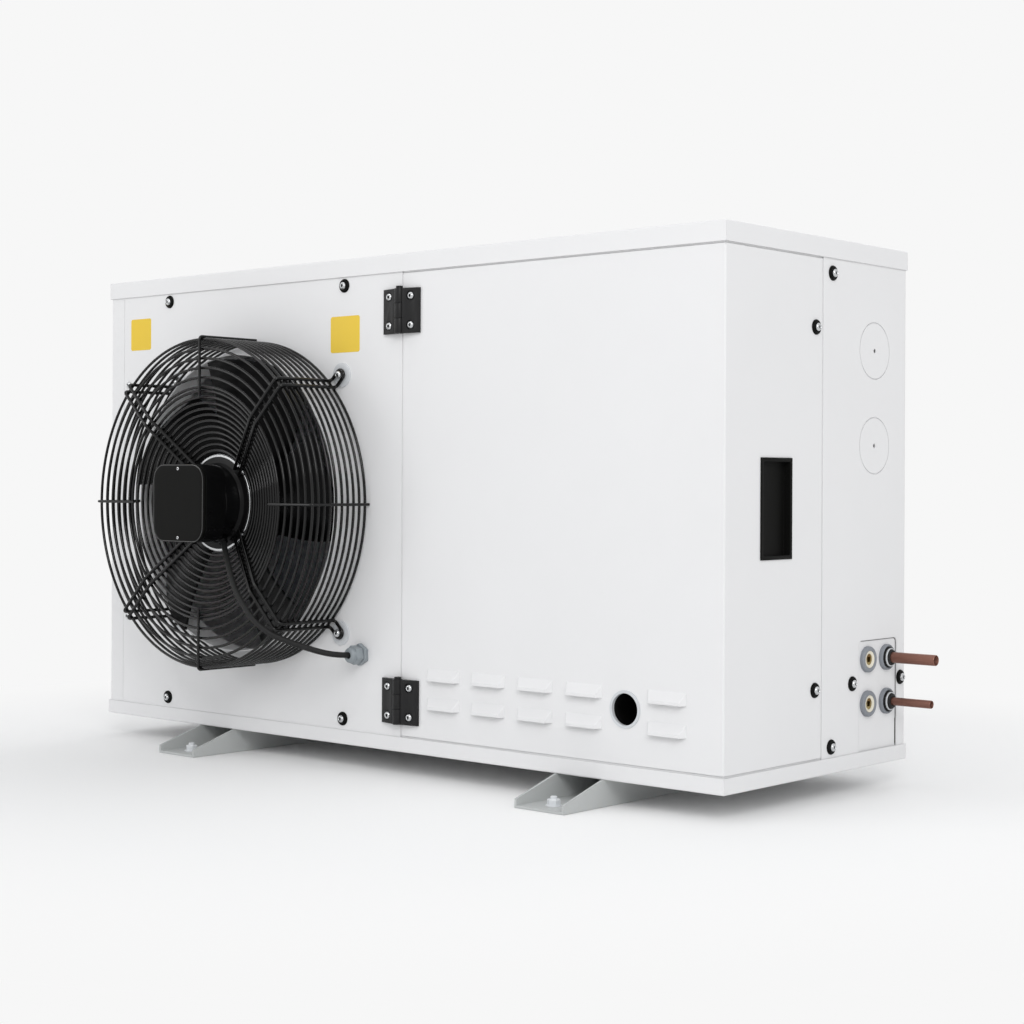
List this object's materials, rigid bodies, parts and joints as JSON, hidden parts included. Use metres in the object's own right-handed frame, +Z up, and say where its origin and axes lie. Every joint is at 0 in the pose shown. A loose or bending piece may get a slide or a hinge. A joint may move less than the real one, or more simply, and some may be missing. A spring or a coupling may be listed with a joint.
{
  "type": "refrigeration condensing unit",
  "caption": "Air-cooled condensing unit in a sheet-metal case: front fan with wire guard, hinged service door, service valves and copper connection stubs on the right.",
  "frame": {"origin": "centre of the four floor anchor holes, on the floor under the foot rails", "axes": "+X to the right end with the pipe stubs, -Y out of the front with the fan, +Z up"},
  "size_m": [1.11, 0.5652, 0.63],
  "materials": {
    "white_panel": "fine satin powder coat",
    "black_wire": "gloss black coated wire",
    "black_metal": "satin black",
    "black_plastic": "moulded",
    "rubber": "matt",
    "grey_rubber": "matt",
    "grey_plastic": "moulded",
    "zinc": "zinc plated",
    "steel": "ground",
    "aluminium": "mill finish",
    "copper": "drawn copper tube",
    "brass": "machined brass",
    "white_steel": "painted can",
    "red_plastic": "moulded"
  },
  "bodies": {
    "root": {"foot_rail_left": "white_panel", "foot_rail_right": "white_panel", "base_tray": "white_panel", "lid": "white_panel", "fan_panel": "white_panel", "left_side_panel": "white_panel", "service_side_panel": "white_panel", "valve_plate": "white_panel", "divider_panel": "white_panel", "rear_panel": "white_panel", "hinge_leaves_fixed": "black_metal", "hinge_pins": "black_metal", "panel_screws": "zinc", "panel_washers": "black_plastic", "guard_rings": "black_wire", "guard_arms": "black_wire", "guard_stays": "black_wire", "guard_ears": "zinc", "motor_stator": "black_metal", "motor_bearings": "steel", "motor_terminal_box": "black_plastic", "terminal_box_cover": "black_plastic", "cable_gland_body": "grey_plastic", "cable_gland_nut": "grey_plastic", "motor_cable": "rubber", "condenser_fins": "aluminium", "coil_end_plates": "zinc", "coil_return_bends": "copper", "compressor": "black_metal", "compressor_mounts": "rubber", "compressor_bolts": "zinc", "compressor_terminal_cover": "black_plastic", "liquid_receiver": "black_metal", "filter_drier": "white_steel", "sight_glass": "brass", "discharge_line": "copper", "condensate_line": "copper", "suction_line": "copper", "liquid_line": "copper", "suction_valve": "brass", "liquid_valve": "brass", "pipe_stubs": "copper", "valve_grommets": "grey_rubber", "electrical_box": "white_panel", "contactor": "black_plastic", "run_capacitor": "aluminium", "pressure_switch": "grey_plastic"},
    "door": {"door_panel": "white_panel", "door_seal": "rubber", "sight_hole_trim": "steel", "recess_handle": "black_plastic", "hinge_leaves_door": "black_metal", "door_screws": "zinc", "door_washers": "black_plastic"},
    "fan_rotor": {"fan_rotor": "black_metal", "fan_shaft": "steel", "fan_impeller": "black_metal"},
    "suction_spindle": {"suction_spindle": "brass"},
    "liquid_spindle": {"liquid_spindle": "brass"},
    "reset_button": {"reset_button": "red_plastic"}
  },
  "joints": [
    {"name": "door_swing", "type": "hinge", "parent": "root", "child": "door", "pos_m": [0.0312, -0.1897, 0.33], "axis": [0, 0, -1], "range_deg": [0, 110]},
    {"name": "fan_spin", "type": "hinge", "parent": "root", "child": "fan_rotor", "pos_m": [-0.2335, -0.1837, 0.327], "axis": [0, -1, 0], "continuous": true},
    {"name": "suction_valve_turn", "type": "hinge", "parent": "root", "child": "suction_spindle", "pos_m": [0.5027, 0.1025, 0.153], "axis": [1, 0, 0], "range_deg": [0, 90]},
    {"name": "liquid_valve_turn", "type": "hinge", "parent": "root", "child": "liquid_spindle", "pos_m": [0.5027, 0.1025, 0.102], "axis": [1, 0, 0], "range_deg": [0, 90]},
    {"name": "reset_press", "type": "slide", "parent": "root", "child": "reset_button", "axis": [0, 1, 0], "range_m": [0, 0.002], "stiffness_N_per_m": 400}
  ]
}
